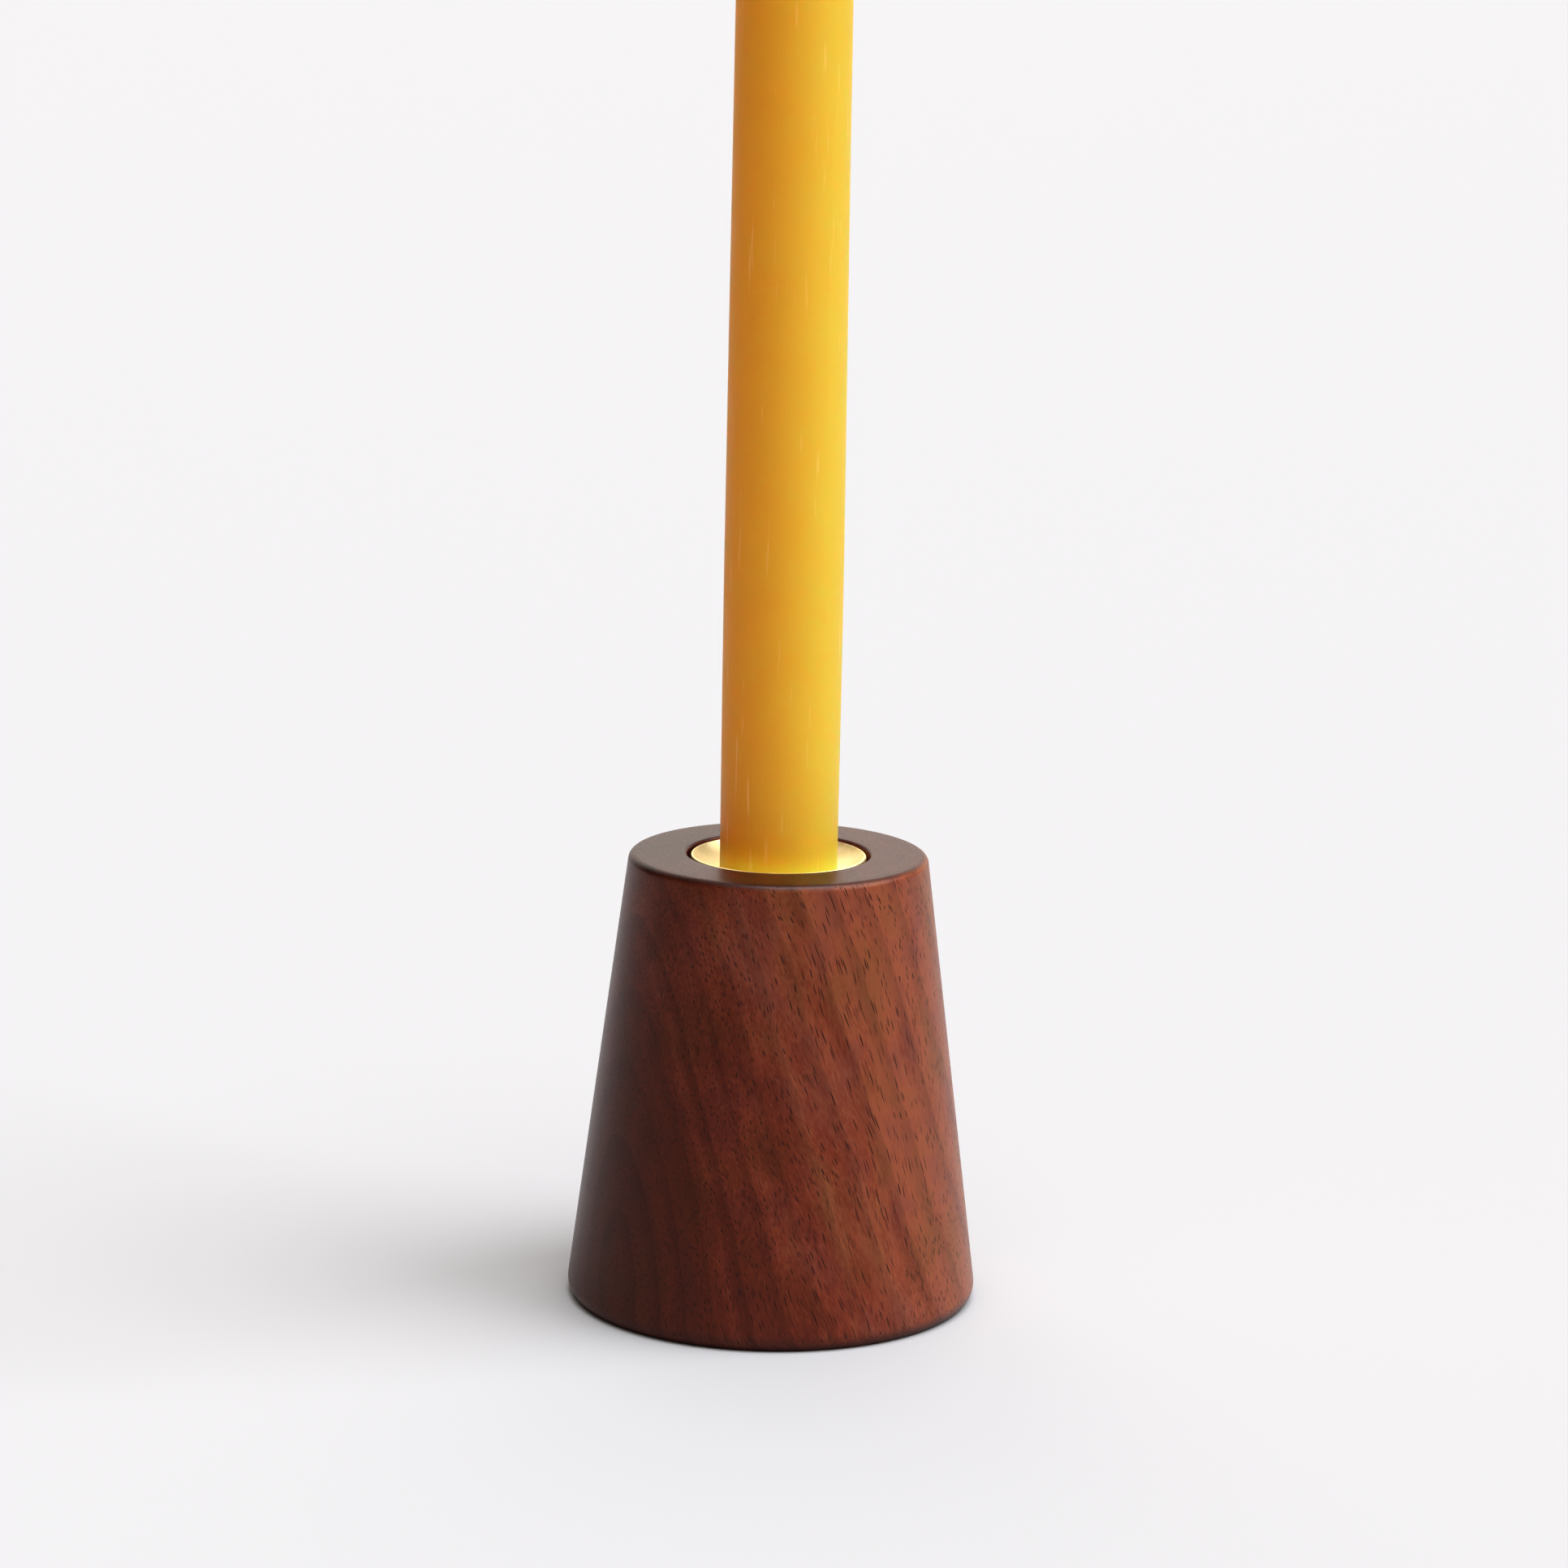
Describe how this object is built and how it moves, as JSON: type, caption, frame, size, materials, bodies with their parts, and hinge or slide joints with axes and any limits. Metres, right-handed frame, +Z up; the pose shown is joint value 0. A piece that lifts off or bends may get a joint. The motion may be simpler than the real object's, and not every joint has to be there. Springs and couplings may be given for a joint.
{
  "type": "wooden candlestick",
  "caption": "Turned, tapered wooden candlestick with a loose dished brass cup that holds a dinner candle.",
  "frame": {"origin": "middle of the flat face that the candlestick stands on", "axes": "+Z up along the axis of the body, cup and candle; the part is round, so X and Y are free, and the camera side is -Y"},
  "size_m": [0.0766, 0.0766, 0.3252],
  "materials": {
    "walnut": "oiled walnut, satin",
    "felt": "pressed wool felt",
    "brass": "turned, satin, unlacquered",
    "beeswax": "dipped beeswax, soft sheen",
    "cotton": "braided cotton, waxed"
  },
  "bodies": {
    "body": {"wood_body": "walnut", "foot_pad": "felt"},
    "cup": {"candle_cup": "brass"},
    "candle": {"candle_wax": "beeswax", "wick": "cotton"}
  },
  "joints": [
    {"name": "cup_lift", "type": "slide", "parent": "body", "child": "cup", "axis": [0, 0, 1], "range_m": [0, 0.035]},
    {"name": "candle_lift", "type": "slide", "parent": "cup", "child": "candle", "axis": [0, 0, 1], "range_m": [0, 0.035]}
  ]
}
